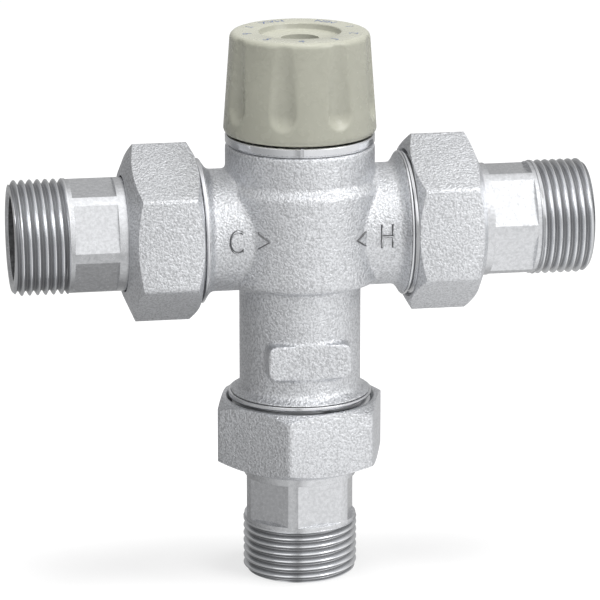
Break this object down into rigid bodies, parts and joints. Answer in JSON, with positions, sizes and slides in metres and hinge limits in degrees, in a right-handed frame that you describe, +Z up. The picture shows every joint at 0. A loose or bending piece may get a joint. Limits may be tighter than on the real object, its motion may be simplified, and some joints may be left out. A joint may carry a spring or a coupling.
{
  "type": "thermostatic mixing valve",
  "caption": "Mixing valve body with side inlets for cold and hot water, an outlet below, union nuts with threaded tails, and a fluted temperature knob on top.",
  "frame": {"origin": "centre of the outlet tail's end face, the lowest point", "axes": "+Z up along the knob's axis; -X to the cold inlet, +X to the hot inlet; -Y is the front with the raised pad"},
  "size_m": [0.1334, 0.0396, 0.1279],
  "materials": {
    "cast_chrome": "chrome plate over a sand-blasted casting",
    "turned_chrome": "bright chrome plate",
    "plain_brass": "machined",
    "element_copper": "drawn copper",
    "bright_screw": "bright",
    "spring_steel": "drawn wire",
    "stainless": "satin",
    "seal_rubber": "matt",
    "valve_plastic": "moulded",
    "knob_plastic": "moulded, glossy"
  },
  "bodies": {
    "body": {"valve_body": "cast_chrome", "bonnet": "turned_chrome", "bonnet_seal": "seal_rubber", "hot_seat": "plain_brass", "return_spring": "spring_steel", "cold_gasket": "seal_rubber", "hot_gasket": "seal_rubber", "outlet_gasket": "seal_rubber", "cold_check_housing": "valve_plastic", "cold_check_spring": "spring_steel", "cold_strainer": "stainless", "hot_check_housing": "valve_plastic", "hot_check_spring": "spring_steel", "hot_strainer": "stainless"},
    "knob": {"knob": "knob_plastic", "knob_screw": "bright_screw", "spindle": "plain_brass", "spindle_seal_lower": "seal_rubber", "spindle_seal_upper": "seal_rubber", "spindle_clip": "spring_steel"},
    "lifter": {"lifter": "plain_brass", "lifter_clip": "spring_steel", "bearing_plate": "plain_brass", "overtravel_spring": "spring_steel", "element_pin": "stainless"},
    "shutter": {"shutter": "valve_plastic", "shutter_seal": "seal_rubber", "wax_element": "element_copper", "element_nut": "plain_brass"},
    "cold_poppet": {"cold_check_poppet": "valve_plastic", "cold_check_seal": "seal_rubber"},
    "hot_poppet": {"hot_check_poppet": "valve_plastic", "hot_check_seal": "seal_rubber"},
    "cold_tail": {"cold_tail": "turned_chrome"},
    "cold_nut": {"cold_nut": "cast_chrome"},
    "hot_tail": {"hot_tail": "turned_chrome"},
    "hot_nut": {"hot_nut": "cast_chrome"},
    "outlet_tail": {"outlet_tail": "turned_chrome"},
    "outlet_nut": {"outlet_nut": "cast_chrome"}
  },
  "joints": [
    {"name": "knob_turn", "type": "hinge", "parent": "body", "child": "knob", "pos_m": [0, 0, 0.0822], "axis": [0, 0, 1], "range_deg": [-150, 150]},
    {"name": "lifter_slide", "type": "slide", "parent": "body", "child": "lifter", "axis": [0, 0, 1], "range_m": [-0.00084, 0.00084]},
    {"name": "element_slide", "type": "slide", "parent": "lifter", "child": "shutter", "axis": [0, 0, 1], "range_m": [-0.0007, 0.0007], "stiffness_N_per_m": 5000, "deforming": ["return_spring"]},
    {"name": "cold_check_slide", "type": "slide", "parent": "body", "child": "cold_poppet", "axis": [1, 0, 0], "range_m": [0, 0.0032], "stiffness_N_per_m": 100, "springref_m": -0.003, "deforming": ["cold_check_spring"]},
    {"name": "hot_check_slide", "type": "slide", "parent": "body", "child": "hot_poppet", "axis": [-1, 0, 0], "range_m": [0, 0.0032], "stiffness_N_per_m": 100, "springref_m": -0.003, "deforming": ["hot_check_spring"]},
    {"name": "cold_tail_slide", "type": "slide", "parent": "body", "child": "cold_tail", "axis": [-1, 0, 0], "range_m": [0, 0.012]},
    {"name": "cold_nut_turn", "type": "hinge", "parent": "cold_tail", "child": "cold_nut", "pos_m": [0, 0, 0.0822], "axis": [-1, 0, 0], "range_deg": [0, 1800]},
    {"name": "hot_tail_slide", "type": "slide", "parent": "body", "child": "hot_tail", "axis": [1, 0, 0], "range_m": [0, 0.012]},
    {"name": "hot_nut_turn", "type": "hinge", "parent": "hot_tail", "child": "hot_nut", "pos_m": [0, 0, 0.0822], "axis": [1, 0, 0], "range_deg": [0, 1800]},
    {"name": "outlet_tail_slide", "type": "slide", "parent": "body", "child": "outlet_tail", "axis": [0, 0, -1], "range_m": [0, 0.012]},
    {"name": "outlet_nut_turn", "type": "hinge", "parent": "outlet_tail", "child": "outlet_nut", "pos_m": [0, 0, 0.0822], "axis": [0, 0, -1], "range_deg": [0, 1800]}
  ],
  "couplings": [
    {"joint": "lifter_slide", "follows": "knob_turn", "m_per_rad": 0.00031831},
    {"joint": "cold_tail_slide", "follows": "cold_nut_turn", "m_per_rad": 0.00036749},
    {"joint": "hot_tail_slide", "follows": "hot_nut_turn", "m_per_rad": 0.00036749},
    {"joint": "outlet_tail_slide", "follows": "outlet_nut_turn", "m_per_rad": 0.00036749}
  ]
}
